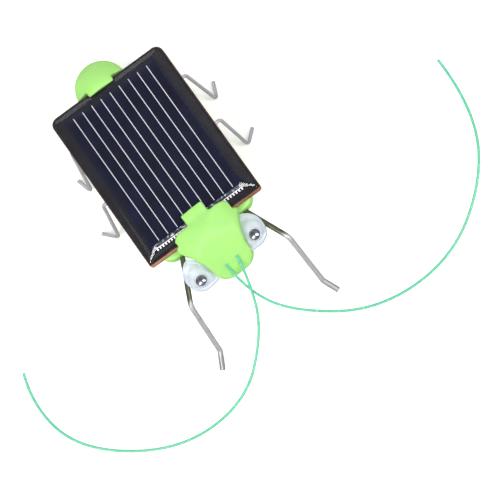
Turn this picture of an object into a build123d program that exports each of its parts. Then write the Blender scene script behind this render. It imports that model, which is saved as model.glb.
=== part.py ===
"""Solar vibration insect: a small walking robot toy, in millimetres.

A potted solar panel feeds a pager motor whose eccentric weight shakes the body,
so that it creeps forward on six bent wire legs. Every size below is taken from the
panel's centre on the ground, with +Z up, the head towards -Y and the insect's left
at +X. place() then moves each piece so that the origin is midway between the front
feet and the tail.
"""

import os
from math import pi, sqrt, tan

from build123d import *

# Driving dimensions -----------------------------------------------------------
PANEL_WIDTH = 30.0
PANEL_LENGTH = 40.0
PANEL_Y = 10.23  # the panel's centre in the finished frame
BOARD_THICKNESS = 1.2
DECK_TOP = 13.0  # underside of the board
CELL_COUNT = 10
CELL_PITCH = 2.5
CELL_LENGTH = 34.8
CELL_THICKNESS = 0.22
RIBBON_THICKNESS = 0.06
MASK_THICKNESS = 0.06
EPOXY_HEIGHT = 1.8
WIRE_RADIUS = 0.4
FRONT_WIRE_RADIUS = 0.6
WIRE_LEVEL = 12.4  # axis of the leg wires where they cross the chassis
WIRE_BEND = 1.2
FRONT_KNEE_BEND = 3.2
MOTOR_RADIUS = 3.0
MOTOR_LENGTH = 10.0
MOTOR_AXIS_Z = 8.0
MOTOR_BACK_Y = -9.0  # the brush end; the shaft points to +Y
SHAFT_RADIUS = 0.4
WEIGHT_RADIUS = 2.5
BELLY_Z = 4.6
SPINE_HALF_WIDTH = 4.8
HEAD_TOP = 18.3
NOSE_Y = -31.45
TAIL_TIP_Y = 25.8
ANTENNA_RADIUS = 0.3
FRONT_WIRE_LEVEL = 9.85  # the front legs run lower, under the eyes
GAP = 0.1  # assembly clearance between the panel and the parts that hold it

board_top = DECK_TOP + BOARD_THICKNESS
mask_top = board_top + MASK_THICKNESS
cell_top = mask_top + CELL_THICKNESS
epoxy_top = board_top + EPOXY_HEIGHT
cell_array_width = CELL_COUNT * CELL_PITCH
motor_front_y = MOTOR_BACK_Y + MOTOR_LENGTH
parts = {}


def keep(part, name):
    """Moves a finished piece into the object's frame, labels it and remembers it."""
    placed = part.moved(Location((0, PANEL_Y, 0)))
    placed.label = name
    parts[name] = placed


def along_y(y):
    """A plane across the motor's axis whose normal is +Y: its x is -X and its y is +Z."""
    return Plane(origin=(0, y, MOTOR_AXIS_Z), x_dir=(-1, 0, 0), z_dir=(0, 1, 0))


# Printed board with its terminals ----------------------------------------------
PAD_X = 8.0
PAD_Y = -9.0
PAD_RADIUS = 1.3
PAD_THICKNESS = 0.08
SOLDER_HEIGHT = 0.7
pad_face = DECK_TOP - PAD_THICKNESS

with BuildPart() as panel_board:
    with BuildSketch(Plane.XY.offset(DECK_TOP)) as board_outline:
        Rectangle(PANEL_WIDTH, PANEL_LENGTH)
        fillet(board_outline.vertices().group_by(Axis.Y)[-1], 1.8)
        fillet(board_outline.vertices().group_by(Axis.Y)[0], 0.7)
    extrude(amount=BOARD_THICKNESS)
keep(panel_board.part, "panel_board")

with BuildPart() as terminal_pads:
    with BuildSketch(Plane.XY.offset(DECK_TOP)):
        with Locations((PAD_X, PAD_Y), (-PAD_X, PAD_Y)):
            Circle(PAD_RADIUS)
    extrude(amount=-PAD_THICKNESS)
keep(terminal_pads.part, "terminal_pads")

with BuildPart() as panel_solder:
    for side in (1, -1):
        blob_plane = Plane(origin=(side * PAD_X, PAD_Y, pad_face), x_dir=(1, 0, 0), z_dir=(0, -1, 0))
        with BuildSketch(blob_plane):
            with BuildLine():
                blob_axis = Line((0, 0), (0, -SOLDER_HEIGHT))
                blob_tip = Line(blob_axis @ 1, (0.45, -SOLDER_HEIGHT))
                blob_flank = ThreePointArc(blob_tip @ 1, (0.68, -0.3), (1.05, 0))
                Line(blob_flank @ 1, (0, 0))
            make_face()
        revolve(axis=Axis((side * PAD_X, PAD_Y, 0), (0, 0, 1)))
keep(panel_solder.part, "panel_solder")

# Solar cells, their ribbons and the clear potting -------------------------------
CELL_GAP = 0.06
CELL_CENTRE_Y = 0.5
SEAM_RIBBON_WIDTH = 0.16
SEAM_RIBBON_LENGTH = 33.2
SEAM_RIBBON_Y = 0.6
MASK_FRONT_RIM = 0.6  # bare laminate left along the front edge
MASK_RIM = 0.1
strip_places = [((i - (CELL_COUNT - 1) / 2) * CELL_PITCH, CELL_CENTRE_Y) for i in range(CELL_COUNT)]
seam_places = [((i - (CELL_COUNT - 2) / 2) * CELL_PITCH, SEAM_RIBBON_Y) for i in range(CELL_COUNT - 1)]

with BuildPart() as board_mask:
    with BuildSketch(Plane.XY.offset(board_top)) as mask_outline:
        with Locations((0, (MASK_FRONT_RIM - MASK_RIM) / 2)):
            Rectangle(PANEL_WIDTH - 2 * MASK_RIM, PANEL_LENGTH - MASK_FRONT_RIM - MASK_RIM)
        fillet(mask_outline.vertices().group_by(Axis.Y)[-1], 1.7)
    extrude(amount=MASK_THICKNESS)
keep(board_mask.part, "board_mask")

with BuildPart() as solar_cells:
    with BuildSketch(Plane.XY.offset(mask_top)):
        with Locations(*strip_places):
            Rectangle(CELL_PITCH - CELL_GAP, CELL_LENGTH)
    extrude(amount=CELL_THICKNESS)
keep(solar_cells.part, "solar_cells")

with BuildPart() as seam_ribbons:
    with BuildSketch(Plane.XY.offset(cell_top)):
        with Locations(*seam_places):
            Rectangle(SEAM_RIBBON_WIDTH, SEAM_RIBBON_LENGTH)
    extrude(amount=RIBBON_THICKNESS)
keep(seam_ribbons.part, "seam_ribbons")

# A collecting strip lies across the cells' front ends, and a comb of contacts before it
STRIP_Y = -16.62
STRIP_WIDTH = 0.55
with BuildPart() as collector_strip:
    with BuildSketch(Plane.XY.offset(cell_top)):
        with Locations((0, STRIP_Y)):
            Rectangle(cell_array_width - 0.6, STRIP_WIDTH)
    extrude(amount=RIBBON_THICKNESS)
keep(collector_strip.part, "collector_strip")

COMB_Y = -17.12
COMB_PITCH = 0.76
COMB_TEETH = 31
with BuildPart() as contact_comb:
    with BuildSketch(Plane.XY.offset(mask_top)):
        with Locations((0, COMB_Y)):
            Rectangle((COMB_TEETH - 1) * COMB_PITCH + 0.36, 0.14)
        with Locations((0, COMB_Y - 0.3)):
            with GridLocations(COMB_PITCH, 1, COMB_TEETH, 1):
                Rectangle(0.36, 0.5)
    extrude(amount=RIBBON_THICKNESS)
keep(contact_comb.part, "contact_comb")

EPOXY_RIM = 0.15
EPOXY_FRONT_RIM = 0.5
EPOXY_ROLL = 1.25
epoxy_width = PANEL_WIDTH - 2 * EPOXY_RIM
epoxy_length = PANEL_LENGTH - EPOXY_RIM - EPOXY_FRONT_RIM
epoxy_y = (EPOXY_FRONT_RIM - EPOXY_RIM) / 2
with BuildPart() as epoxy_dome:
    with BuildSketch(Plane.XY.offset(board_top)):
        with Locations((0, epoxy_y)):
            RectangleRounded(epoxy_width, epoxy_length, 1.7)
    extrude(amount=EPOXY_HEIGHT)
    fillet(epoxy_dome.faces().sort_by(Axis.Z)[-1].edges(), EPOXY_ROLL)
    add(board_mask.part, mode=Mode.SUBTRACT)
    with BuildSketch(Plane.XY.offset(mask_top)):
        with Locations((0, CELL_CENTRE_Y)):
            Rectangle(cell_array_width + 0.1, CELL_LENGTH + 0.1)
        with Locations((0, COMB_Y - 0.3)):
            Rectangle(cell_array_width, 0.8)
    extrude(amount=CELL_THICKNESS + RIBBON_THICKNESS + 0.02, mode=Mode.SUBTRACT)
keep(epoxy_dome.part, "epoxy_dome")

# Wire legs ----------------------------------------------------------------------
# Each route runs from the end inside the chassis to the foot's tip. The wires are bent
# by hand, so the two legs of a pair differ a little.
LEG_ROOT_X = 1.2
FRONT_ROOT_Y = -16.6
MIDDLE_ROOT_Y = -5.4
REAR_ROOT_Y = 9.2
LEG_ROUTES = {
    "leg_front_left": [
        (LEG_ROOT_X, FRONT_ROOT_Y, FRONT_WIRE_LEVEL),
        (6.9, FRONT_ROOT_Y, FRONT_WIRE_LEVEL),
        (13.4, -31.5, 9.4),
        (13.7, -42.9, 1.6),
        (15.2, -46.5, 0),
    ],
    "leg_front_right": [
        (-LEG_ROOT_X, FRONT_ROOT_Y, FRONT_WIRE_LEVEL),
        (-6.1, FRONT_ROOT_Y, FRONT_WIRE_LEVEL),
        (-13.1, -31.2, 9.4),
        (-14.2, -42.1, 1.6),
        (-16.3, -45.9, 0),
    ],
    "leg_middle_left": [
        (LEG_ROOT_X, MIDDLE_ROOT_Y, WIRE_LEVEL),
        (5.6, MIDDLE_ROOT_Y, WIRE_LEVEL),
        (16.2, -1.4, WIRE_LEVEL),
        (17.9, -8.1, 2.2),
        (20.8, -5.2, 0),
    ],
    "leg_middle_right": [
        (-LEG_ROOT_X, MIDDLE_ROOT_Y, WIRE_LEVEL),
        (-5.6, MIDDLE_ROOT_Y, WIRE_LEVEL),
        (-15.9, -1.6, WIRE_LEVEL),
        (-18.0, -7.9, 2.2),
        (-20.9, -4.6, 0),
    ],
    "leg_rear_left": [
        (LEG_ROOT_X, REAR_ROOT_Y, WIRE_LEVEL),
        (5.6, REAR_ROOT_Y, WIRE_LEVEL),
        (15.7, 11.2, WIRE_LEVEL),
        (18.1, 4.5, 2.2),
        (19.7, 8.7, 0),
    ],
    "leg_rear_right": [
        (-LEG_ROOT_X, REAR_ROOT_Y, WIRE_LEVEL),
        (-5.6, REAR_ROOT_Y, WIRE_LEVEL),
        (-14.9, 12.6, WIRE_LEVEL),
        (-17.1, 4.2, 2.2),
        (-18.5, 8.6, 0),
    ],
}


def standing(points, wire_radius):
    """The same route with the tip raised so that the cut end just touches the ground."""
    ankle = Vector(*points[-2])
    x, y, lift = points[-1]
    for _ in range(4):
        slope = (Vector(x, y, lift) - ankle).normalized()
        lift = wire_radius * sqrt(1 - slope.Z**2)
    return points[:-1] + [(x, y, lift)]


def bent_wire(points, bends, wire_radius):
    """A leg swept along straight runs joined by bends."""
    with BuildPart() as wire:
        with BuildLine() as wire_path:
            FilletPolyline(*standing(points, wire_radius), radius=bends)
        with BuildSketch(wire_path.line ^ 0):
            Circle(wire_radius)
        sweep(path=wire_path.line)
    return wire.part


legs = {}
for name, points in LEG_ROUTES.items():
    if name.startswith("leg_front"):
        legs[name] = bent_wire(points, [WIRE_BEND, FRONT_KNEE_BEND, WIRE_BEND], FRONT_WIRE_RADIUS)
    else:
        legs[name] = bent_wire(points, [WIRE_BEND] * 3, WIRE_RADIUS)
for name, leg in legs.items():
    keep(leg, name)

# Chassis -------------------------------------------------------------------------
SPINE_FRONT_Y = -18.0
SPINE_REAR_Y = 21.0
LOBE_HALF_WIDTH = 12.3
LOBE_FRONT_Y = -21.2
LOBE_REAR_Y = -13.5
LOBE_BOTTOM = 8.0
LOBE_TOP = DECK_TOP
SOCKET_HALF_WIDTH = 7.2
NECK_HALF_WIDTH = 4.0
NECK_FRONT_Y = -29.2
NECK_TOP = 10.2
NECK_BOTTOM = 6.8
TAIL_X = -0.9  # the tail sits a little to the right of the centre plane
TAIL_CENTRE_Y = 19.6
TAIL_CLIP_Y = 17.0
TAIL_TOP = 17.4
TAIL_BOTTOM = 8.0
TAIL_LIP_HALF_WIDTH = 3.4
TAIL_LIP_Y = 18.7
WEIGHT_Y = motor_front_y + 1.4
WEIGHT_LENGTH = 4.0
BAY_END_Y = WEIGHT_Y + WEIGHT_LENGTH + 1.0

with BuildPart() as chassis:
    with BuildSketch(Plane.XY.offset(BELLY_Z)):
        with BuildLine():
            Polyline(
                (SPINE_HALF_WIDTH, SPINE_FRONT_Y),
                (SPINE_HALF_WIDTH, SPINE_REAR_Y),
                (-SPINE_HALF_WIDTH, SPINE_REAR_Y),
                (-SPINE_HALF_WIDTH, SPINE_FRONT_Y),
                close=True,
            )
        make_face()
    extrude(amount=DECK_TOP - BELLY_Z)
    fillet(chassis.edges().filter_by(Axis.Z), 1.5)
    fillet(chassis.faces().sort_by(Axis.Z)[0].edges(), 0.8)
    # Thorax lobes under the panel's front edge
    with BuildSketch(Plane.XY.offset(LOBE_BOTTOM)):
        with Locations((0, (LOBE_FRONT_Y + LOBE_REAR_Y) / 2)):
            RectangleRounded(2 * LOBE_HALF_WIDTH, LOBE_REAR_Y - LOBE_FRONT_Y, 3.0)
    extrude(amount=LOBE_TOP - LOBE_BOTTOM)
    # Neck under the head cover
    with BuildSketch(Plane.XY.offset(NECK_BOTTOM)):
        with Locations((0, (NECK_FRONT_Y + SPINE_FRONT_Y) / 2)):
            Rectangle(2 * NECK_HALF_WIDTH, SPINE_FRONT_Y - NECK_FRONT_Y + 2)
    extrude(amount=NECK_TOP - NECK_BOTTOM)
    # Sockets for the middle and rear legs
    for root_y in (MIDDLE_ROOT_Y, REAR_ROOT_Y):
        with BuildSketch(Plane.XY.offset(DECK_TOP)):
            with Locations((0, root_y + 0.4)):
                RectangleRounded(2 * SOCKET_HALF_WIDTH, 3.6, 0.8)
        extrude(amount=-1.9)
    # Motor cradle, room for the weight and a window for the leads
    with BuildSketch(along_y(MOTOR_BACK_Y)):
        Circle(MOTOR_RADIUS)
        with Locations((0, -2.5)):
            Rectangle(2 * MOTOR_RADIUS - 0.5, 5.0)
    extrude(amount=MOTOR_LENGTH, mode=Mode.SUBTRACT)
    with BuildSketch(along_y(motor_front_y)):
        Circle(MOTOR_RADIUS - 0.1)
        with Locations((0, -2.5)):
            Rectangle(2 * MOTOR_RADIUS - 0.2, 5.0)
    extrude(amount=BAY_END_Y - motor_front_y, mode=Mode.SUBTRACT)
    with BuildSketch(Plane.XY.offset(BELLY_Z - 1)):
        with Locations((0, MOTOR_BACK_Y - 1.5)):
            Rectangle(2 * SPINE_HALF_WIDTH + 2, 3.0)
    extrude(amount=11.2 - BELLY_Z + 1, mode=Mode.SUBTRACT)
    for leg in legs.values():
        add(leg, mode=Mode.SUBTRACT)
keep(chassis.part, "chassis")

# Tail cap: a domed piece over the end of the spine, with a lip that clips over the panel
with BuildPart() as tail_cap:
    with BuildSketch(Plane.YZ.offset(TAIL_X)):
        with BuildLine():
            dome_axis = Line((TAIL_CENTRE_Y, TAIL_BOTTOM), (TAIL_CENTRE_Y, TAIL_TOP))
            dome_top = Spline(
                dome_axis @ 1,
                (TAIL_TIP_Y - 1.7, TAIL_TOP - 2.0),
                (TAIL_TIP_Y, 12.6),
                tangents=((1, -0.08), (0, -1)),
            )
            dome_side = ThreePointArc(dome_top @ 1, (TAIL_TIP_Y - 0.6, 9.9), (TAIL_TIP_Y - 2.4, TAIL_BOTTOM))
            Line(dome_side @ 1, (TAIL_CENTRE_Y, TAIL_BOTTOM))
        make_face()
    revolve(axis=Axis((TAIL_X, TAIL_CENTRE_Y, 0), (0, 0, 1)))
    # Room for the panel, the spine and everything before the lip
    with BuildSketch(Plane.XY.offset(DECK_TOP)):
        Rectangle(PANEL_WIDTH + 2, PANEL_LENGTH + 2 * GAP)
    extrude(amount=epoxy_top + GAP - DECK_TOP, mode=Mode.SUBTRACT)
    with BuildSketch(Plane.XY.offset(epoxy_top)):
        with Locations((0, TAIL_LIP_Y - 5)):
            Rectangle(PANEL_WIDTH, 10)
        for side in (1, -1):
            with Locations((TAIL_X + side * (TAIL_LIP_HALF_WIDTH + 3), PANEL_LENGTH / 2 - 3 + GAP)):
                Rectangle(6, 6)
    extrude(amount=4, mode=Mode.SUBTRACT)
    with BuildSketch(Plane.XY.offset(TAIL_BOTTOM)):
        with Locations((0, TAIL_CLIP_Y - 10)):
            Rectangle(PANEL_WIDTH, 20)
    extrude(amount=DECK_TOP - TAIL_BOTTOM, mode=Mode.SUBTRACT)
    add(chassis.part, mode=Mode.SUBTRACT)
keep(tail_cap.part, "tail_cap")

# Eyes ----------------------------------------------------------------------------
# Each eye is a clear drop-shaped flange with a dome, and a black bead set in the dome.
EYE_TURN = 5.0  # degrees, the clear eyes sit askew
EYE_PIVOT = Axis((0, -27, 0), (0, 0, 1))
EYE_DOME_X = 7.5
EYE_DOME_Y = -27.0
EYE_DOME_RADIUS = 2.9
EYE_BOTTOM = 10.6
EYE_FLANGE_TOP = 11.7
EYE_TOP = 14.2
PUPIL_X = 7.7
PUPIL_Y = -27.9
PUPIL_RADIUS = 1.2
PUPIL_BOTTOM = 12.0
PUPIL_TOP = 14.25

lens_blanks = []
for side, side_name in ((1, "left"), (-1, "right")):
    with BuildPart() as pupil:
        pupil_plane = Plane(origin=(side * PUPIL_X, PUPIL_Y, 0), x_dir=(1, 0, 0), z_dir=(0, -1, 0))
        with BuildSketch(pupil_plane):
            with BuildLine():
                pupil_axis = Line((0, PUPIL_TOP), (0, PUPIL_BOTTOM))
                pupil_base = Line(pupil_axis @ 1, (PUPIL_RADIUS, PUPIL_BOTTOM))
                Line(pupil_base @ 1, (PUPIL_RADIUS, PUPIL_TOP - 0.6))
                TangentArc(pupil_axis @ 0, (PUPIL_RADIUS, PUPIL_TOP - 0.6), tangent=(1, 0))
            make_face()
        revolve(axis=Axis((side * PUPIL_X, PUPIL_Y, 0), (0, 0, 1)))
    with BuildPart() as lens_blank:
        with BuildSketch(Plane.XY.offset(EYE_BOTTOM)):
            with BuildLine():
                lens_rear = ThreePointArc((side * 7.4, -22.1), (side * 10.0, -24.2), (side * 10.8, -26.5))
                lens_front = ThreePointArc(lens_rear @ 1, (side * 9.9, -29.0), (side * 7.4, -30.1))
                Polyline(
                    lens_front @ 1,
                    (side * 4.6, -29.9),
                    (side * 4.2, -28.6),
                    (side * 5.8, -23.6),
                    lens_rear @ 0,
                )
            make_face()
        extrude(amount=EYE_FLANGE_TOP - EYE_BOTTOM)
        dome_plane = Plane(origin=(side * EYE_DOME_X, EYE_DOME_Y, 0), x_dir=(1, 0, 0), z_dir=(0, -1, 0))
        with BuildSketch(dome_plane):
            with BuildLine():
                dome_axis = Line((0, EYE_TOP), (0, EYE_FLANGE_TOP - 0.2))
                dome_base = Line(dome_axis @ 1, (EYE_DOME_RADIUS, EYE_FLANGE_TOP - 0.2))
                dome_wall = Line(dome_base @ 1, (EYE_DOME_RADIUS, EYE_FLANGE_TOP))
                TangentArc(dome_axis @ 0, dome_wall @ 1, tangent=(1, 0))
            make_face()
        revolve(axis=Axis((side * EYE_DOME_X, EYE_DOME_Y, 0), (0, 0, 1)))
    lens_blanks.append(lens_blank.part.rotate(EYE_PIVOT, EYE_TURN))
    with BuildPart() as lens:
        add(lens_blank.part)
        with BuildSketch(Plane.XY.offset(PUPIL_BOTTOM)):
            with Locations((side * PUPIL_X, PUPIL_Y)):
                Circle(PUPIL_RADIUS)
        extrude(amount=4, mode=Mode.SUBTRACT)
    keep(pupil.part.rotate(EYE_PIVOT, EYE_TURN), f"eye_pupil_{side_name}")
    keep(lens.part.rotate(EYE_PIVOT, EYE_TURN), f"eye_lens_{side_name}")

# Antennae --------------------------------------------------------------------------
# Stiff nylon whiskers, pushed into two holes in the forehead. They droop to the
# ground in front of the feet, cross each other and sweep out to both sides.
ANTENNA_TO_LEFT = [
    (-1.15, -27.9, 14.0),
    (-1.3, -34.6, 8.5),
    (3.8, -44.4, 3.2),
    (19.8, -55.6, ANTENNA_RADIUS),
    (40.7, -55.6, ANTENNA_RADIUS),
    (57.4, -43.4, ANTENNA_RADIUS),
    (63.7, -28.5, ANTENNA_RADIUS),
    (63.4, -17.6, ANTENNA_RADIUS),
]
ANTENNA_TO_RIGHT = [
    (2.05, -27.9, 13.65),
    (1.0, -33.9, 10.95),
    (-3.4, -44.2, 5.6),
    (-16.2, -54.9, ANTENNA_RADIUS),
    (-34.9, -54.9, ANTENNA_RADIUS),
    (-52.5, -42.5, ANTENNA_RADIUS),
    (-56.7, -28.0, ANTENNA_RADIUS),
    (-53.9, -19.9, ANTENNA_RADIUS),
]


def bend_radii(route):
    """The widest gentle arc at each corner: 0.45 of the shorter run over the half turn's tangent."""
    points = [Vector(*point) for point in route]
    radii = []
    for before, corner, after in zip(points, points[1:], points[2:]):
        run_in = corner - before
        run_out = after - corner
        half_turn = run_in.get_angle(run_out) / 2
        radii.append(0.45 * min(run_in.length, run_out.length) / tan(half_turn * pi / 180))
    return radii


for name, route in (("antenna_left", ANTENNA_TO_LEFT), ("antenna_right", ANTENNA_TO_RIGHT)):
    radii = bend_radii(route)
    with BuildPart() as antenna:
        with BuildLine() as antenna_path:
            FilletPolyline(*route, radius=radii)
        with BuildSketch(antenna_path.line ^ 0):
            Circle(ANTENNA_RADIUS)
        sweep(path=antenna_path.line)
    length = antenna_path.wire().length
    expected = pi * ANTENNA_RADIUS**2 * length
    print(name, "radii", [round(radius, 1) for radius in radii], "length", round(length, 1))
    print(name, "volume", round(antenna.part.volume, 3), "expected", round(expected, 3))
    keep(antenna.part, name)

# Head cover ------------------------------------------------------------------------
HEAD_BOTTOM = 7.4
HEAD_TURN = 2.5  # degrees, the head looks a little to its right
HEAD_PIVOT = Axis((0, -20, 0), (0, 0, 1))
TAB_HALF_WIDTH = 2.8
TAB_REAR_Y = -14.8
SHOULDER_Y = -17.5
ANTENNA_HOLE_X = 1.4
ANTENNA_HOLE_Y = -28.9

with BuildPart() as head_blank:
    # Plan: a tab, two shoulders, drawn-in cheeks and a blunt nose
    with BuildSketch(Plane.XY.offset(HEAD_BOTTOM)) as head_plan:
        with BuildLine():
            tab_edge = Line((0, TAB_REAR_Y), (TAB_HALF_WIDTH, TAB_REAR_Y))
            tab_side = Line(tab_edge @ 1, (TAB_HALF_WIDTH, SHOULDER_Y))
            shoulder_rear = Line(tab_side @ 1, (5.0, SHOULDER_Y))
            shoulder = ThreePointArc(shoulder_rear @ 1, (7.6, -18.7), (8.0, -21.0))
            cheek = ThreePointArc(shoulder @ 1, (6.0, -24.6), (4.9, -28.4))
            nose_side = Line(cheek @ 1, (4.8, -29.6))
            ThreePointArc(nose_side @ 1, (3.2, -31.0), (0, NOSE_Y))
            mirror(about=Plane.YZ)
        make_face()
    extrude(amount=HEAD_TOP + 1 - HEAD_BOTTOM)
    # Side view: level over the panel, then one long curve down to the nose
    with BuildSketch(Plane.YZ):
        with BuildLine():
            tab_top = Line((TAB_REAR_Y, HEAD_TOP - 1.1), (SHOULDER_Y, HEAD_TOP - 0.9))
            brow = Spline(
                tab_top @ 1,
                (-21.0, HEAD_TOP),
                (-27.2, 15.4),
                (NOSE_Y, 9.8),
            )
            chin = Line(brow @ 1, (NOSE_Y, HEAD_BOTTOM))
            jaw = Line(chin @ 1, (TAB_REAR_Y, HEAD_BOTTOM))
            Line(jaw @ 1, tab_top @ 0)
        make_face()
    extrude(amount=10, both=True, mode=Mode.INTERSECT)
    # Front view: a low arch
    with BuildSketch(Plane.XZ.offset(-TAB_REAR_Y)):
        with BuildLine():
            arch = ThreePointArc((9.0, 15.0), (0, HEAD_TOP), (-9.0, 15.0))
            arch_right = Line(arch @ 1, (-9.0, HEAD_BOTTOM))
            arch_base = Line(arch_right @ 1, (9.0, HEAD_BOTTOM))
            Line(arch_base @ 1, arch @ 0)
        make_face()
    extrude(amount=20, mode=Mode.INTERSECT)

with BuildPart() as head_cover:
    add(head_blank.part.rotate(HEAD_PIVOT, HEAD_TURN))
    # Room for the panel, the neck, the lobes and the eyes
    with BuildSketch(Plane.XY.offset(HEAD_BOTTOM)):
        with Locations((0, -PANEL_LENGTH / 2 - GAP + 5)):
            Rectangle(PANEL_WIDTH, 10)
    extrude(amount=epoxy_top + GAP - HEAD_BOTTOM, mode=Mode.SUBTRACT)
    add(chassis.part, mode=Mode.SUBTRACT)
    for leg in legs.values():
        add(leg, mode=Mode.SUBTRACT)
    for blank in lens_blanks:
        add(blank, mode=Mode.SUBTRACT)
    # Holes that the antennae are pushed into, along each one's first run
    for route in (ANTENNA_TO_LEFT, ANTENNA_TO_RIGHT):
        first_run = Vector(*route[1]) - Vector(*route[0])
        with BuildSketch(Plane(origin=route[0], z_dir=first_run)):
            Circle(ANTENNA_RADIUS + 0.05)
        extrude(amount=6, mode=Mode.SUBTRACT)
keep(head_cover.part, "head_cover")

# Motor, fixed parts -----------------------------------------------------------------
CAN_WALL = 0.25
END_CAP_THICKNESS = 0.8
MAGNET_OUTER = 1.7
BEARING_OUTER = 0.75
BEARING_BORE = SHAFT_RADIUS + 0.03
COIL_OUTER = 2.4
COIL_INNER = 2.05
coil_front_y = motor_front_y - CAN_WALL - 0.35
coil_back_y = MOTOR_BACK_Y + 2.4
magnet_back_y = coil_back_y + 0.75

with BuildPart() as motor_can:
    with BuildSketch(along_y(MOTOR_BACK_Y)):
        Circle(MOTOR_RADIUS)
    extrude(amount=MOTOR_LENGTH)
    fillet(motor_can.faces().sort_by(Axis.Y)[-1].edges(), 0.3)
    with BuildSketch(along_y(MOTOR_BACK_Y)):
        Circle(MOTOR_RADIUS - CAN_WALL)
    extrude(amount=MOTOR_LENGTH - CAN_WALL, mode=Mode.SUBTRACT)
    with BuildSketch(along_y(motor_front_y - CAN_WALL)):
        Circle(BEARING_OUTER)
    extrude(amount=CAN_WALL, mode=Mode.SUBTRACT)
keep(motor_can.part, "motor_can")

with BuildPart() as motor_bearing:
    with BuildSketch(along_y(magnet_back_y)):
        Circle(BEARING_OUTER)
        Circle(BEARING_BORE, mode=Mode.SUBTRACT)
    extrude(amount=motor_front_y + 0.45 - magnet_back_y)
keep(motor_bearing.part, "motor_bearing")

with BuildPart() as motor_magnet:
    with BuildSketch(along_y(magnet_back_y)):
        Circle(MAGNET_OUTER)
        Circle(BEARING_OUTER, mode=Mode.SUBTRACT)
    extrude(amount=motor_front_y - CAN_WALL - magnet_back_y)
keep(motor_magnet.part, "motor_magnet")

with BuildPart() as motor_end_cap:
    with BuildSketch(along_y(MOTOR_BACK_Y)):
        Circle(MOTOR_RADIUS - CAN_WALL)
    extrude(amount=END_CAP_THICKNESS)
    with BuildSketch(along_y(MOTOR_BACK_Y)):
        Circle(1.5)
    extrude(amount=-0.3)
keep(motor_end_cap.part, "motor_end_cap")

TERMINAL_X = 1.9
TERMINAL_LENGTH = 0.7
with BuildPart() as motor_terminals:
    with BuildSketch(along_y(MOTOR_BACK_Y)):
        with Locations((TERMINAL_X, 0.4), (-TERMINAL_X, 0.4)):
            Rectangle(0.6, 0.9)
    extrude(amount=-TERMINAL_LENGTH)
keep(motor_terminals.part, "motor_terminals")

BRUSH_REACH = 1.05
with BuildPart() as motor_brushes:
    with BuildSketch(along_y(MOTOR_BACK_Y + END_CAP_THICKNESS)):
        with Locations((BRUSH_REACH + 0.15, 0), (-BRUSH_REACH - 0.15, 0)):
            Rectangle(0.15, 1.6)
    extrude(amount=0.9)
keep(motor_brushes.part, "motor_brushes")

# Rotor ------------------------------------------------------------------------------
COMMUTATOR_RADIUS = 0.75
HUB_RADIUS = 1.1
shaft_back_y = MOTOR_BACK_Y + END_CAP_THICKNESS + 0.3
shaft_front_y = WEIGHT_Y + WEIGHT_LENGTH + 0.3

with BuildPart() as motor_shaft:
    with BuildSketch(along_y(shaft_back_y)):
        Circle(SHAFT_RADIUS)
    extrude(amount=shaft_front_y - shaft_back_y)
    chamfer(motor_shaft.edges().filter_by(GeomType.CIRCLE), 0.08)
keep(motor_shaft.part, "motor_shaft")

with BuildPart() as commutator:
    with BuildSketch(along_y(shaft_back_y + 0.1)):
        Circle(COMMUTATOR_RADIUS)
        Circle(SHAFT_RADIUS, mode=Mode.SUBTRACT)
    extrude(amount=coil_back_y - shaft_back_y - 0.1)
keep(commutator.part, "commutator")

with BuildPart() as rotor_coil:
    with BuildSketch(along_y(coil_back_y)):
        Circle(COIL_OUTER)
        Circle(SHAFT_RADIUS, mode=Mode.SUBTRACT)
    extrude(amount=0.4)
    with BuildSketch(along_y(coil_back_y)):
        Circle(COIL_OUTER)
        Circle(COIL_INNER, mode=Mode.SUBTRACT)
    extrude(amount=coil_front_y - coil_back_y)
keep(rotor_coil.part, "rotor_coil")

with BuildPart() as eccentric_weight:
    with BuildSketch(along_y(WEIGHT_Y)):
        Circle(WEIGHT_RADIUS)
        with Locations((0, WEIGHT_RADIUS)):
            Rectangle(2 * WEIGHT_RADIUS, 2 * WEIGHT_RADIUS, mode=Mode.SUBTRACT)
        Circle(HUB_RADIUS)
        Circle(SHAFT_RADIUS, mode=Mode.SUBTRACT)
    extrude(amount=WEIGHT_LENGTH)
keep(eccentric_weight.part, "eccentric_weight")

# Leads from the motor to the panel ----------------------------------------------------
LEAD_RADIUS = 0.35
lead_start = (TERMINAL_X, MOTOR_BACK_Y - TERMINAL_LENGTH, MOTOR_AXIS_Z + 0.4)
lead_end = (PAD_X, PAD_Y, pad_face - SOLDER_HEIGHT)
LEAD_ROUTE = [
    lead_start,
    (TERMINAL_X + 0.3, MOTOR_BACK_Y - 2.0, MOTOR_AXIS_Z + 0.4),
    (6.0, MOTOR_BACK_Y - 2.0, MOTOR_AXIS_Z + 0.9),
    (PAD_X, PAD_Y - 0.3, 10.2),
    lead_end,
]
for side, colour in ((1, "red"), (-1, "black")):
    with BuildPart() as lead:
        with BuildLine() as lead_path:
            FilletPolyline(*[(side * x, y, z) for x, y, z in LEAD_ROUTE], radius=0.7)
        with BuildSketch(lead_path.line ^ 0):
            Circle(LEAD_RADIUS)
        sweep(path=lead_path.line)
    keep(lead.part, f"lead_{colour}")

os.makedirs("parts", exist_ok=True)
for name, part in parts.items():
    export_step(part, f"parts/{name}.step")
everything = Compound(children=list(parts.values())).bounding_box()
print("box", everything.min, everything.max)
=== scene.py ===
"""Looks for the solar vibration insect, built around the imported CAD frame, in metres."""

from math import cos, exp, hypot, pi, radians, sin, sqrt

import bmesh
import bpy
from mathutils import Matrix, Vector


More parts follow.
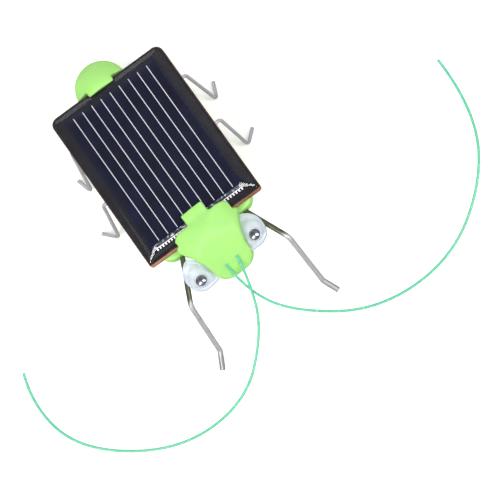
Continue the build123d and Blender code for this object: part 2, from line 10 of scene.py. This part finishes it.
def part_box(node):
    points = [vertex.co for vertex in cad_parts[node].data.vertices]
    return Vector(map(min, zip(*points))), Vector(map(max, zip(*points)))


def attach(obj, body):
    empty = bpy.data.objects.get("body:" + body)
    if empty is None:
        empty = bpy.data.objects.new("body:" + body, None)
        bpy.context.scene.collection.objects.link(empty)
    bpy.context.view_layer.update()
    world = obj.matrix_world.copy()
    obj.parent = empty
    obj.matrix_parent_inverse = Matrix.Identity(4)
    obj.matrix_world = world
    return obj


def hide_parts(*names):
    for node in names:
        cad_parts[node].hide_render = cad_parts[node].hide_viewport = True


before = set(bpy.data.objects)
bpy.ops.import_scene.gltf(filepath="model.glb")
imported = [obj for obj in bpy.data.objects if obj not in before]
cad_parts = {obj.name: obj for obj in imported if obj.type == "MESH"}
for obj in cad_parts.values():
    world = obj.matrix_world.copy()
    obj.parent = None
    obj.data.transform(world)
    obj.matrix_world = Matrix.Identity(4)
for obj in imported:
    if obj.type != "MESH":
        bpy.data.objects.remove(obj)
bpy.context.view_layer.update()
MM = 0.001

# Where the CAD put things -------------------------------------------------------
board_low, board_high = (Vector(corner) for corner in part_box("panel_board"))
epoxy_low, epoxy_high = (Vector(corner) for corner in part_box("epoxy_dome"))
head_low, head_high = (Vector(corner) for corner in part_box("head_cover"))
panel_y = (board_low.y + board_high.y) / 2


def at(x, y, z):
    """A point given in millimetres from the panel's centre, on the ground, in scene metres."""
    return Vector((x * MM, panel_y + y * MM, z * MM))


# Mesh helpers --------------------------------------------------------------------
def show(name, mesh, material, node_names=()):
    """Adds a finished mesh as a piece that rides on the body and may stand for CAD nodes."""
    mesh.materials.clear()
    mesh.materials.append(material)
    mesh.shade_smooth()
    piece = bpy.data.objects.new(name, mesh)
    bpy.context.collection.objects.link(piece)
    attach(piece, "body")
    if node_names:
        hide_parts(*node_names)
    return piece


def stacked(name, rings, looped=False):
    """A closed mesh through rings of equal size: capped at both ends, or joined into a loop."""
    mesh = bpy.data.meshes.new(name)
    count = len(rings[0])
    points = [point for ring in rings for point in ring]
    faces = []
    for level in range(len(rings) - (not looped)):
        low = level * count
        high = (level + 1) % len(rings) * count
        for k in range(count):
            after = (k + 1) % count
            faces.append((low + k, low + after, high + after, high + k))
    if not looped:
        faces.append(tuple(reversed(range(count))))
        faces.append(tuple(range(len(points) - count, len(points))))
    mesh.from_pydata([tuple(point) for point in points], [], faces)
    shape = bmesh.new()
    shape.from_mesh(mesh)
    bmesh.ops.recalc_face_normals(shape, faces=shape.faces)
    shape.to_mesh(mesh)
    shape.free()
    return mesh


def arc(centre, radius, start, end, count):
    """Points on an arc in the XY plane, angles in degrees."""
    x, y = centre
    turns = [radians(start + (end - start) * k / count) for k in range(count + 1)]
    return [(x + radius * cos(turn), y + radius * sin(turn)) for turn in turns]


def smoothed(mesh, passes, voxel=None, weights=None):
    """A copy of a mesh, smoothed by passes, after an even remesh if a voxel size is given.

    Weights say by vertex index how far each vertex follows; without them all of them do.
    """
    draft = bpy.data.objects.new("draft", mesh)
    bpy.context.collection.objects.link(draft)
    if voxel:
        remesh = draft.modifiers.new("remesh", "REMESH")
        remesh.mode = "VOXEL"
        remesh.voxel_size = voxel
    smooth = draft.modifiers.new("smooth", "SMOOTH")
    smooth.factor = 0.5
    smooth.iterations = passes
    if weights:
        group = draft.vertex_groups.new(name="weights")
        for index, weight in weights.items():
            group.add([index], weight, "REPLACE")
        smooth.vertex_group = group.name
    view = bpy.context.evaluated_depsgraph_get()
    result = bpy.data.meshes.new_from_object(draft.evaluated_get(view))
    bpy.data.objects.remove(draft)
    return result


def softened(node_name, voxel, passes):
    """A CAD node's mesh with its edges rounded over as a mould leaves them."""
    mesh = smoothed(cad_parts[node_name].data.copy(), passes, voxel)
    mesh.name = f"{node_name}_moulded"
    return mesh


# Material helpers: noise scales are in features per metre ----------------------------
NOISE_ROUGHNESS = 0.55
FLOW_SCALE = 160
GRAIN_SCALE = 9000
PEEL_SCALE = 1400
PEEL_DEPTH = 0.00004
STREAK_DEPTH = 0.00003
SUBSURFACE_RADIUS = (0.9, 1.0, 0.35)
SUBSURFACE_SCALE = 0.0012


def new_material(name):
    """A material with nodes, its tree and its shader."""
    material = bpy.data.materials.new(name)
    material.use_nodes = True
    tree = material.node_tree
    return material, tree, tree.nodes["Principled BSDF"]


def link(tree, source, target):
    tree.links.new(source, target)


def noise(tree, scale, detail, stretch=(1, 1, 1)):
    """A noise value in object coordinates; stretch squeezes an axis."""
    coordinates = tree.nodes.new("ShaderNodeTexCoord")
    mapping = tree.nodes.new("ShaderNodeMapping")
    mapping.inputs["Scale"].default_value = stretch
    texture = tree.nodes.new("ShaderNodeTexNoise")
    texture.inputs["Scale"].default_value = scale
    texture.inputs["Detail"].default_value = detail
    texture.inputs["Roughness"].default_value = NOISE_ROUGHNESS
    link(tree, coordinates.outputs["Object"], mapping.inputs["Vector"])
    link(tree, mapping.outputs["Vector"], texture.inputs["Vector"])
    return texture.outputs["Fac"]


def ramp(tree, source, stops):
    """A colour from a ramp through (position, colour) stops."""
    node = tree.nodes.new("ShaderNodeValToRGB")
    elements = node.color_ramp.elements
    elements[0].position, elements[0].color = stops[0][0], (*stops[0][1], 1)
    elements[1].position, elements[1].color = stops[-1][0], (*stops[-1][1], 1)
    for position, colour in stops[1:-1]:
        elements.new(position).color = (*colour, 1)
    link(tree, source, node.inputs["Fac"])
    return node.outputs["Color"]


def span(tree, source, low, high, source_low=0, source_high=1):
    """Maps a value from one range on to another."""
    node = tree.nodes.new("ShaderNodeMapRange")
    node.inputs["From Min"].default_value = source_low
    node.inputs["From Max"].default_value = source_high
    node.inputs["To Min"].default_value = low
    node.inputs["To Max"].default_value = high
    link(tree, source, node.inputs["Value"])
    return node.outputs["Result"]


def colour_by(tree, shader, source, stops):
    """The shader's colour follows a value through a ramp."""
    link(tree, ramp(tree, source, stops), shader.inputs["Base Color"])


def roughness_by(tree, shader, source, low, high):
    """The shader's roughness follows a 0 to 1 value."""
    link(tree, span(tree, source, low, high), shader.inputs["Roughness"])


def bump(tree, shader, height, strength, distance):
    """The shader's surface is raised by a height value."""
    node = tree.nodes.new("ShaderNodeBump")
    node.inputs["Strength"].default_value = strength
    node.inputs["Distance"].default_value = distance
    link(tree, height, node.inputs["Height"])
    link(tree, node.outputs["Normal"], shader.inputs["Normal"])


def varied(colour, variation):
    """Ramp stops from a darker to a lighter version of a colour."""
    dark = tuple(min(1.0, channel * (1 - variation)) for channel in colour)
    light = tuple(min(1.0, channel * (1 + variation)) for channel in colour)
    return [(0.3, dark), (0.7, light)]


def moulded_plastic(name, colour, roughness, subsurface=0.0, variation=0.06):
    """Moulded plastic: slight colour flow, a fine grain in the gloss and a faint orange peel."""
    material, tree, shader = new_material(name)
    colour_by(tree, shader, noise(tree, FLOW_SCALE, detail=3), varied(colour, variation))
    roughness_by(tree, shader, noise(tree, GRAIN_SCALE, detail=2), roughness * 0.8, roughness * 1.25)
    bump(tree, shader, noise(tree, PEEL_SCALE, detail=2), 0.12, PEEL_DEPTH)
    if subsurface:
        shader.inputs["Subsurface Weight"].default_value = subsurface
        shader.inputs["Subsurface Radius"].default_value = SUBSURFACE_RADIUS
        shader.inputs["Subsurface Scale"].default_value = SUBSURFACE_SCALE
    return material


def metal(
    name, colour, roughness, brush=(1, 1, 1), variation=0.12, scale=2500, strength=0.15, metallic=1.0
):
    """Bare metal with drawn or ground streaks along the squeezed axes."""
    material, tree, shader = new_material(name)
    shader.inputs["Metallic"].default_value = metallic
    streaks = noise(tree, scale, detail=5, stretch=brush)
    colour_by(tree, shader, streaks, varied(colour, variation))
    roughness_by(tree, shader, streaks, roughness * 0.7, roughness * 1.4)
    bump(tree, shader, streaks, strength, STREAK_DEPTH)
    return material


# Materials -----------------------------------------------------------------------
WIRE_FINISH = {
    "roughness": 0.33,
    "brush": (1, 0.25, 1),
    "variation": 0.08,
    "scale": 1400,
    "strength": 0.05,
    "metallic": 0.5,
}
PRINTED_FINISH = {
    "roughness": 0.5,
    "variation": 0.05,
    "scale": 3000,
    "strength": 0.2,
    "metallic": 0.1,
}
green = moulded_plastic("green_plastic", (0.38, 0.77, 0.19), 0.45, subsurface=0.25)
cap_plastic = moulded_plastic("cap_plastic", (0.82, 0.80, 0.73), 0.45)
red_insulation = moulded_plastic("red_insulation", (0.62, 0.02, 0.015), 0.38)
black_insulation = moulded_plastic("black_insulation", (0.018, 0.018, 0.02), 0.4, variation=0.2)
bead_mirror = metal("bead_mirror", (0.28, 0.29, 0.33), 0.2, variation=0.2, scale=900, strength=0.05)
leg_steel = metal("leg_steel", (0.60, 0.58, 0.63), **WIRE_FINISH)
# The front legs are the same steel as the others, made darker here as a painted reflection of the dark
# panel and green head
front_leg_painted_reflection_steel = metal("front_leg_painted_reflection_steel", (0.55, 0.54, 0.54), **WIRE_FINISH)
can_steel = metal("can_steel", (0.66, 0.66, 0.65), 0.2, brush=(1, 0.05, 1))
shaft_steel = metal("shaft_steel", (0.72, 0.72, 0.72), 0.12, brush=(1, 0.1, 1))
bronze = metal("bronze", (0.52, 0.35, 0.17), 0.35)
copper = metal("copper", (0.78, 0.36, 0.18), 0.3)
winding = metal("winding", (0.66, 0.24, 0.08), 0.3, brush=(1, 12, 1), scale=1500, strength=0.5)
brass = metal("brass", (0.76, 0.58, 0.28), 0.28)
magnet_coat = metal("magnet_coat", (0.33, 0.33, 0.35), 0.3)
weight_metal = metal("weight_metal", (0.42, 0.41, 0.39), 0.42, scale=5000, strength=0.35)
solder = metal("solder", (0.72, 0.73, 0.74), 0.2, scale=900, strength=0.3)
cell_silver = metal("cell_silver", (0.95, 0.95, 0.95), **PRINTED_FINISH)
seam_silver = metal("seam_silver", (0.62, 0.64, 0.70), **PRINTED_FINISH)

# Collector strip: dark sintered metal with lighter worn patches
PATCH_STOPS = [(0.45, (0.02, 0.025, 0.04)), (0.56, (0.10, 0.11, 0.14)), (0.64, (0.65, 0.66, 0.70))]
tinned, tree, shader = new_material("tinned")
shader.inputs["Metallic"].default_value = 0.4
patches = noise(tree, 1100, detail=3)
colour_by(tree, shader, patches, PATCH_STOPS)
roughness_by(tree, shader, patches, 0.3, 0.5)

# The front legs carry a painted reflection: dark olive where they leave the body, for the green head and
# dark panel they mirror.
# They are also darker towards the feet. Each tint grows from one Y to another, in millimetres, up to its
# share of the colour.
OLIVE_PAINTED_REFLECTION = (-31.4, -29.8, 1.0, (0.09, 0.09, 0.05, 1))
FOOT_DARKENING = (-42.4, -43.6, 0.45, (0.16, 0.15, 0.14, 1))
tree = front_leg_painted_reflection_steel.node_tree
shader = tree.nodes["Principled BSDF"]
leg_colour = shader.inputs["Base Color"].links[0].from_socket
coordinates = tree.nodes.new("ShaderNodeTexCoord")
axes = tree.nodes.new("ShaderNodeSeparateXYZ")
link(tree, coordinates.outputs["Object"], axes.inputs["Vector"])
# The first tint is the painted reflection near the body; the second darkens towards the feet
for start, end, share, colour in (OLIVE_PAINTED_REFLECTION, FOOT_DARKENING):
    mix = tree.nodes.new("ShaderNodeMixRGB")
    mix.inputs["Color2"].default_value = colour
    amount = span(tree, axes.outputs["Y"], 0, share, at(0, start, 0).y, at(0, end, 0).y)
    link(tree, amount, mix.inputs["Fac"])
    link(tree, leg_colour, mix.inputs["Color1"])
    leg_colour = mix.outputs["Color"]
link(tree, leg_colour, shader.inputs["Base Color"])

# Silicon: blue-black with faint cloudiness and a fine crystal grain in the gloss
SILICON_STOPS = [
    (0.3, (0.001, 0.0015, 0.009)),
    (0.55, (0.002, 0.003, 0.017)),
    (0.75, (0.004, 0.006, 0.027)),
]
silicon, tree, shader = new_material("silicon")
colour_by(tree, shader, noise(tree, 260, detail=5), SILICON_STOPS)
roughness_by(tree, shader, noise(tree, 7000, detail=2), 0.25, 0.5)
shader.inputs["Specular IOR Level"].default_value = 0.08

# Laminate: brown layered resin, and the black lacquer on top of it
LAYER_STOPS = [(0.3, (0.11, 0.040, 0.016)), (0.55, (0.28, 0.105, 0.045)), (0.75, (0.44, 0.20, 0.10))]
laminate, tree, shader = new_material("laminate")
layers = noise(tree, 900, detail=4, stretch=(0.3, 0.3, 4))
colour_by(tree, shader, layers, LAYER_STOPS)
roughness_by(tree, shader, layers, 0.35, 0.65)
bump(tree, shader, layers, 0.3, 0.00004)

lacquer, tree, shader = new_material("mask_lacquer")
spread = noise(tree, 300, detail=3)
colour_by(tree, shader, spread, [(0.3, (0.004, 0.004, 0.006)), (0.7, (0.009, 0.008, 0.013))])
roughness_by(tree, shader, spread, 0.35, 0.55)
shader.inputs["Specular IOR Level"].default_value = 0.06

# Clear parts: potting resin with a slightly uneven gloss, hazy eye plastic, and nylon
resin, tree, shader = new_material("clear_resin")
shader.inputs["Transmission Weight"].default_value = 1.0
shader.inputs["IOR"].default_value = 1.55
shader.inputs["Base Color"].default_value = (0.96, 0.97, 1.0, 1)
roughness_by(tree, shader, noise(tree, 60, detail=1), 0.05, 0.08)

lens_plastic, tree, shader = new_material("lens_plastic")
shader.inputs["Transmission Weight"].default_value = 0.45
shader.inputs["IOR"].default_value = 1.49
haze = noise(tree, 500, detail=3)
colour_by(tree, shader, haze, [(0.3, (0.68, 0.71, 0.80)), (0.7, (0.82, 0.85, 0.94))])
roughness_by(tree, shader, haze, 0.1, 0.25)
bump(tree, shader, haze, 0.15, 0.0001)

nylon, tree, shader = new_material("green_nylon")
shader.inputs["Transmission Weight"].default_value = 0.15
shader.inputs["IOR"].default_value = 1.53
streaks = noise(tree, 900, detail=3)
colour_by(tree, shader, streaks, [(0.3, (0.13, 0.61, 0.36)), (0.7, (0.19, 0.72, 0.45))])
roughness_by(tree, shader, streaks, 0.15, 0.35)

NODE_MATERIALS = {
    "chassis": green,
    "head_cover": green,
    "tail_cap": green,
    "eye_lens_left": lens_plastic,
    "eye_lens_right": lens_plastic,
    "eye_pupil_left": bead_mirror,
    "eye_pupil_right": bead_mirror,
    "panel_board": laminate,
    "board_mask": lacquer,
    "terminal_pads": copper,
    "panel_solder": solder,
    "solar_cells": silicon,
    "seam_ribbons": seam_silver,
    "collector_strip": tinned,
    "contact_comb": cell_silver,
    "epoxy_dome": resin,
    "leg_front_left": front_leg_painted_reflection_steel,
    "leg_front_right": front_leg_painted_reflection_steel,
    "motor_can": can_steel,
    "motor_bearing": bronze,
    "motor_magnet": magnet_coat,
    "motor_end_cap": cap_plastic,
    "motor_terminals": brass,
    "motor_brushes": brass,
    "motor_shaft": shaft_steel,
    "commutator": copper,
    "rotor_coil": winding,
    "eccentric_weight": weight_metal,
    "lead_red": red_insulation,
    "lead_black": black_insulation,
    "antenna_left": nylon,
    "antenna_right": nylon,
}
for node_name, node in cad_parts.items():
    # The nodes left out of the list are the middle and rear legs
    material = NODE_MATERIALS.get(node_name, leg_steel)
    for slot in node.material_slots:
        slot.material = material

# Camera: almost overhead, rolled so that the insect's head points down and to the right ---
CAMERA_AZIMUTH = radians(19.34)
CAMERA_ELEVATION = radians(81.29)
CAMERA_ROLL = radians(-55.06)
CAMERA_DISTANCE = 0.45
CAMERA_LENS = 145.5
aim = at(4.51, -28.16, 5.0)
back = Vector((
    sin(CAMERA_AZIMUTH) * cos(CAMERA_ELEVATION),
    -cos(CAMERA_AZIMUTH) * cos(CAMERA_ELEVATION),
    sin(CAMERA_ELEVATION),
))
across = Vector((cos(CAMERA_AZIMUTH), sin(CAMERA_AZIMUTH), 0))
upright = back.cross(across)
right = cos(CAMERA_ROLL) * across + sin(CAMERA_ROLL) * upright
up = cos(CAMERA_ROLL) * upright - sin(CAMERA_ROLL) * across
camera = bpy.data.objects.new("camera", bpy.data.cameras.new("camera"))
camera.data.lens = CAMERA_LENS
camera.data.sensor_width = 36
camera.data.clip_start = 0.01
turn = Matrix((right, up, back)).transposed()
camera.matrix_world = Matrix.Translation(aim + CAMERA_DISTANCE * back) @ turn.to_4x4()
bpy.context.collection.objects.link(camera)
bpy.context.scene.camera = camera

# Antennae: the same routes as their tubes ---------------------------------------------
ANTENNA_RADIUS = 0.3
ANTENNA_ROUTES = {
    "antenna_left": [
        (-1.15, -27.9, 14.0),
        (-1.3, -34.6, 8.5),
        (3.8, -44.4, 3.2),
        (19.8, -55.6, ANTENNA_RADIUS),
        (40.7, -55.6, ANTENNA_RADIUS),
        (57.4, -43.4, ANTENNA_RADIUS),
        (63.7, -28.5, ANTENNA_RADIUS),
        (63.4, -17.6, ANTENNA_RADIUS),
    ],
    "antenna_right": [
        (2.05, -27.9, 13.65),
        (1.0, -33.9, 10.95),
        (-3.4, -44.2, 5.6),
        (-16.2, -54.9, ANTENNA_RADIUS),
        (-34.9, -54.9, ANTENNA_RADIUS),
        (-52.5, -42.5, ANTENNA_RADIUS),
        (-56.7, -28.0, ANTENNA_RADIUS),
        (-53.9, -19.9, ANTENNA_RADIUS),
    ],
}
for node_name, route in ANTENNA_ROUTES.items():
    data = bpy.data.curves.new(f"{node_name}_line", "CURVE")
    data.dimensions = "3D"
    data.bevel_depth = ANTENNA_RADIUS * MM
    data.bevel_resolution = 5
    data.resolution_u = 24
    data.use_fill_caps = True
    spline = data.splines.new("NURBS")
    spline.points.add(len(route) - 1)
    for point, place in zip(spline.points, route):
        point.co = (*at(*place), 1)
    spline.order_u = 3
    spline.use_endpoint_u = True
    data.materials.append(nylon)
    whisker = bpy.data.objects.new(f"{node_name}_line", data)
    bpy.context.collection.objects.link(whisker)
    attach(whisker, "body")
    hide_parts(node_name)

# Moulded green parts, with softened edges ---------------------------------------------
HEAD_VOXEL = 0.2 * MM
HEAD_PASSES = 12
TAIL_VOXEL = 0.2 * MM
TAIL_PASSES = 5
CHASSIS_VOXEL = 0.28 * MM
CHASSIS_PASSES = 3

# Two soft ridges run from the head's shoulders to its nose, on the upper part only. Their
# height follows a sine arch, which is already at RIDGE_START of its length at the shoulder.
RIDGES = [(at(6.6, -19.6, 0), at(2.4, -27.5, 0)), (at(-6.6, -20.0, 0), at(-0.6, -27.5, 0))]
RIDGE_HEIGHT = 0.3 * MM
RIDGE_WIDTH = 1.5 * MM
RIDGE_START = 0.25
RIDGE_LEVEL = 0.45
RIDGE_LEVEL_BLEND = 0.3
RIDGE_NORMAL_BLEND = 0.6
head_mesh = softened("head_cover", HEAD_VOXEL, HEAD_PASSES)
for vertex in head_mesh.vertices:
    level = (vertex.co.z - head_low.z) / (head_high.z - head_low.z)
    if level < RIDGE_LEVEL or vertex.normal.z < 0:
        continue
    blend = min(1, (level - RIDGE_LEVEL) / RIDGE_LEVEL_BLEND)
    blend *= min(1, vertex.normal.z / RIDGE_NORMAL_BLEND)
    for start, end in RIDGES:
        flat = Vector((vertex.co.x, vertex.co.y, 0))
        run = (end - start).xy
        along = max(0, min(1, (flat - start).xy.dot(run) / run.length_squared))
        away = ((flat - start).xy - along * run).length
        fade = blend * sin(pi * (RIDGE_START + (1 - RIDGE_START) * along)) ** 2
        vertex.co.z += RIDGE_HEIGHT * fade * exp(-(away / RIDGE_WIDTH) ** 2)
head_mesh.update()

# The crown is smoothed into one surface, fully near its centre and less further out
CROWN_CENTRE = at(0.3, -24.2, 0)
CROWN_FULL = 4.6 * MM
CROWN_REACH = 7.6 * MM
CROWN_PASSES = 160
CROWN_NORMAL = 0.1
CROWN_NORMAL_BLEND = 0.4
crown = {}
for vertex in head_mesh.vertices:
    away = (vertex.co - CROWN_CENTRE).xy.length
    inward = (CROWN_REACH - away) / (CROWN_REACH - CROWN_FULL)
    weight = min(1, inward) * min(1, (vertex.normal.z + CROWN_NORMAL) / CROWN_NORMAL_BLEND)
    if weight > 0 and vertex.normal.z > -CROWN_NORMAL:
        crown[vertex.index] = weight
head_mesh = smoothed(head_mesh, CROWN_PASSES, weights=crown)
tail_mesh = softened("tail_cap", TAIL_VOXEL, TAIL_PASSES)
chassis_mesh = softened("chassis", CHASSIS_VOXEL, CHASSIS_PASSES)
show("head_cover_moulded", head_mesh, green, ["head_cover"])
show("tail_cap_moulded", tail_mesh, green, ["tail_cap"])
show("chassis_moulded", chassis_mesh, green, ["chassis"])

# Clear potting: a pillow whose surface rolls down to the board's edges ------------------
# Heights over the board, insets and corner radii, in millimetres
POTTING_FOOT = 0.01
POTTING_EDGE = 0.3
POTTING_ROLL = 4.4
RING_COUNT = 16
CORNER_STEPS = 8
REAR_CORNER = 1.8
REAR_CORNER_LEAST = 0.8
FRONT_CORNER = 0.6
FRONT_CORNER_GROWTH = 0.55
board_top = board_high.z / MM
potting_height = (epoxy_high.z - board_high.z) / MM
half_width = (epoxy_high.x - epoxy_low.x) / 2 / MM
rear = (epoxy_high.y - panel_y) / MM
front = (epoxy_low.y - panel_y) / MM


def pillow_ring(inset, height):
    """The potting's outline drawn in by inset, with soft corners, at a height over the board."""
    rear_radius = max(REAR_CORNER - inset, REAR_CORNER_LEAST)
    front_radius = FRONT_CORNER + FRONT_CORNER_GROWTH * inset
    x = half_width - inset
    y_rear = rear - inset
    y_front = front + inset
    corners = (
        (x - rear_radius, y_rear - rear_radius, rear_radius, 0),
        (-x + rear_radius, y_rear - rear_radius, rear_radius, 90),
        (-x + front_radius, y_front + front_radius, front_radius, 180),
        (x - front_radius, y_front + front_radius, front_radius, 270),
    )
    outline = []
    for corner_x, corner_y, radius, start in corners:
        outline += arc((corner_x, corner_y), radius, start, start + 90, CORNER_STEPS)
    return [at(px, py, board_top + height) for px, py in outline]


rings = [pillow_ring(0, POTTING_FOOT)]
for k in range(RING_COUNT + 1):
    turn = (pi / 2) * k / RING_COUNT
    inset = POTTING_ROLL * (1 - cos(turn))
    rings.append(pillow_ring(inset, POTTING_EDGE + (potting_height - POTTING_EDGE) * sin(turn)))
potting = show("potting", stacked("potting", rings), resin, ["epoxy_dome"])
potting.visible_shadow = False  # light reaches the cells through it

# Eyes: a drop-shaped clear flange with a raised rim and a dome, a bead, and a ring round it --
EYE_TURN = radians(5)
EYE_PIVOT = (0, -27.0)
EYE_CENTRE = (7.5, -27.0)
EYE_OUTLINE = [
    *arc((6.65, -26.05), 4.2, -8, 78, 12),
    (5.8, -23.6),
    (4.2, -28.6),
    (4.6, -29.9),
    *arc((7.35, -26.65), 3.45, -90, -8, 10)[:-1],
]
# The flange's edge and rim: shares of the outline, and heights
EYE_RIM = [
    (0.96, 10.6),
    (1.0, 10.8),
    (1.0, 11.6),
    (0.985, 11.85),
    (0.95, 11.95),
    (0.91, 11.85),
    (0.87, 11.6),
]
# The dome over the flange starts at one share of the outline and narrows by another. After
# those two, the sizes of the dome, the bead and the ring's wire are in millimetres.
DOME_STEPS = 12
DOME_OUTER = 0.8
DOME_SPAN = 0.78
DOME_BASE = 11.6
DOME_HEIGHT = 2.5
DOME_RADIUS = 3.0
BEAD = (7.7, -27.9)
BEAD_TURNS = [2 * pi * k / 32 for k in range(32)]
BEAD_WALL = [(1.1, 12.05), (1.18, 12.1), (1.2, 12.2), (1.2, 13.95), (1.17, 14.05)]
BEAD_CAP_STEPS = 9
BEAD_CAP_HEIGHT = 0.4
RING_RADIUS = 1.42
RING_WIRE = 0.2
RING_LEVEL = 13.72
RING_TURNS = [2 * pi * k / 24 for k in range(24)]
RING_BENDS = [2 * pi * k / 10 for k in range(10)]


def eye_point(side, x, y, z):
    """A point of the left eye, mirrored if side is -1, turned with both about the head."""
    dx, dy = side * x - EYE_PIVOT[0], y - EYE_PIVOT[1]
    return at(
        EYE_PIVOT[0] + dx * cos(EYE_TURN) - dy * sin(EYE_TURN),
        EYE_PIVOT[1] + dx * sin(EYE_TURN) + dy * cos(EYE_TURN),
        z,
    )


def around_bead(side, radius, turn, z):
    """A point at a distance and a direction from the bead's axis."""
    return eye_point(side, BEAD[0] + radius * cos(turn), BEAD[1] + radius * sin(turn), z)


def shell_ring(side, scale, height=None):
    """The eye's outline at a scale, at a height or, without one, on the dome."""
    ring = []
    for x, y in EYE_OUTLINE:
        px = EYE_CENTRE[0] + (x - EYE_CENTRE[0]) * scale
        py = EYE_CENTRE[1] + (y - EYE_CENTRE[1]) * scale
        away = hypot(px - EYE_CENTRE[0], py - EYE_CENTRE[1])
        rise = DOME_HEIGHT * sqrt(max(0, 1 - (away / DOME_RADIUS) ** 2))
        ring.append(eye_point(side, px, py, height or DOME_BASE + rise))
    return ring


bead_profile = list(BEAD_WALL)
cap_radius, cap_base = BEAD_WALL[-1]
for k in range(1, BEAD_CAP_STEPS):
    turn = pi / 2 * k / BEAD_CAP_STEPS
    bead_profile.append((cap_radius * cos(turn), cap_base + BEAD_CAP_HEIGHT * sin(turn)))

for side, side_name in ((1, "left"), (-1, "right")):
    rings = [shell_ring(side, scale, height) for scale, height in EYE_RIM]
    rings += [shell_ring(side, DOME_OUTER - DOME_SPAN * k / DOME_STEPS) for k in range(DOME_STEPS + 1)]
    name = f"eye_shell_{side_name}"
    shell = show(name, stacked(name, rings), lens_plastic, [f"eye_lens_{side_name}"])
    shell.visible_shadow = False

    rings = [[around_bead(side, radius, turn, z) for turn in BEAD_TURNS] for radius, z in bead_profile]
    name = f"eye_bead_{side_name}"
    show(name, stacked(name, rings), bead_mirror, [f"eye_pupil_{side_name}"])

    rings = []
    for turn in RING_TURNS:
        ring = []
        for bend in RING_BENDS:
            radius = RING_RADIUS + RING_WIRE * cos(bend)
            ring.append(around_bead(side, radius, turn, RING_LEVEL + RING_WIRE * sin(bend)))
        rings.append(ring)
    name = f"eye_ring_{side_name}"
    show(name, stacked(name, rings, looped=True), lens_plastic)

# Floor, lights and surroundings --------------------------------------------------------
FLOOR_HALF = 1.5
FLOOR_CORNERS = [(-1, -1), (1, -1), (1, 1), (-1, 1)]
FLOOR_GLOW = 0.3
floor_data = bpy.data.meshes.new("floor")
floor_points = [(x * FLOOR_HALF, y * FLOOR_HALF, 0) for x, y in FLOOR_CORNERS]
floor_data.from_pydata(floor_points, [], [(0, 1, 2, 3)])
floor = bpy.data.objects.new("floor", floor_data)
bpy.context.collection.objects.link(floor)
floor.visible_glossy = False  # gloss picks up the dark surroundings instead, which outlines the wires
floor_paint, tree, shader = new_material("floor_paint")
colour_by(tree, shader, noise(tree, 40, detail=2), [(0.3, (0.93, 0.93, 0.93)), (0.7, (0.96, 0.96, 0.96))])
shader.inputs["Roughness"].default_value = 0.9
shader.inputs["Specular IOR Level"].default_value = 0.1
shader.inputs["Emission Color"].default_value = (1, 1, 1, 1)
shader.inputs["Emission Strength"].default_value = FLOOR_GLOW
floor_data.materials.append(floor_paint)


def softbox(name, azimuth, elevation, distance, size, power):
    """An area light aimed at the panel: direction in degrees, sizes in metres, power in watts."""
    data = bpy.data.lights.new(name, "AREA")
    data.shape = "RECTANGLE"
    data.size, data.size_y = size
    data.energy = power
    lamp = bpy.data.objects.new(name, data)
    direction = Vector((
        cos(radians(elevation)) * cos(radians(azimuth)),
        cos(radians(elevation)) * sin(radians(azimuth)),
        sin(radians(elevation)),
    ))
    lamp.location = at(0, 0, 10) + distance * direction
    lamp.rotation_euler = direction.to_track_quat("Z", "Y").to_euler()
    bpy.context.collection.objects.link(lamp)


softbox("key", 215, 45, 0.7, (0.8, 0.6), 0.7)
softbox("fill", 15, 50, 0.8, (0.9, 0.7), 0.4)
softbox("strip_left", -36, 62, 0.7, (0.12, 0.58), 2.6)
softbox("strip_right", -150, 56, 0.7, (0.12, 0.56), 2.6)
softbox("rear", 100, 30, 0.8, (0.8, 0.4), 1.0)

# Surroundings: grey walls, lighter higher up, and a dark patch overhead for the potting to mirror
TENT_STOPS = [
    (0.0, (0.22, 0.22, 0.23)),
    (0.5, (0.26, 0.26, 0.27)),
    (0.75, (0.34, 0.34, 0.35)),
    (0.94, (0.34, 0.34, 0.35)),
    (1.0, (0.09, 0.09, 0.11)),
]
world = bpy.data.worlds.new("studio")
world.use_nodes = True
bpy.context.scene.world = world
tree = world.node_tree
coordinates = tree.nodes.new("ShaderNodeTexCoord")
axes = tree.nodes.new("ShaderNodeSeparateXYZ")
link(tree, coordinates.outputs["Generated"], axes.inputs["Vector"])
height = span(tree, axes.outputs["Z"], 0, 1, source_low=-1)
background = tree.nodes["Background"]
link(tree, ramp(tree, height, TENT_STOPS), background.inputs["Color"])
background.inputs["Strength"].default_value = 1.0

bpy.context.scene.view_settings.view_transform = "Standard"
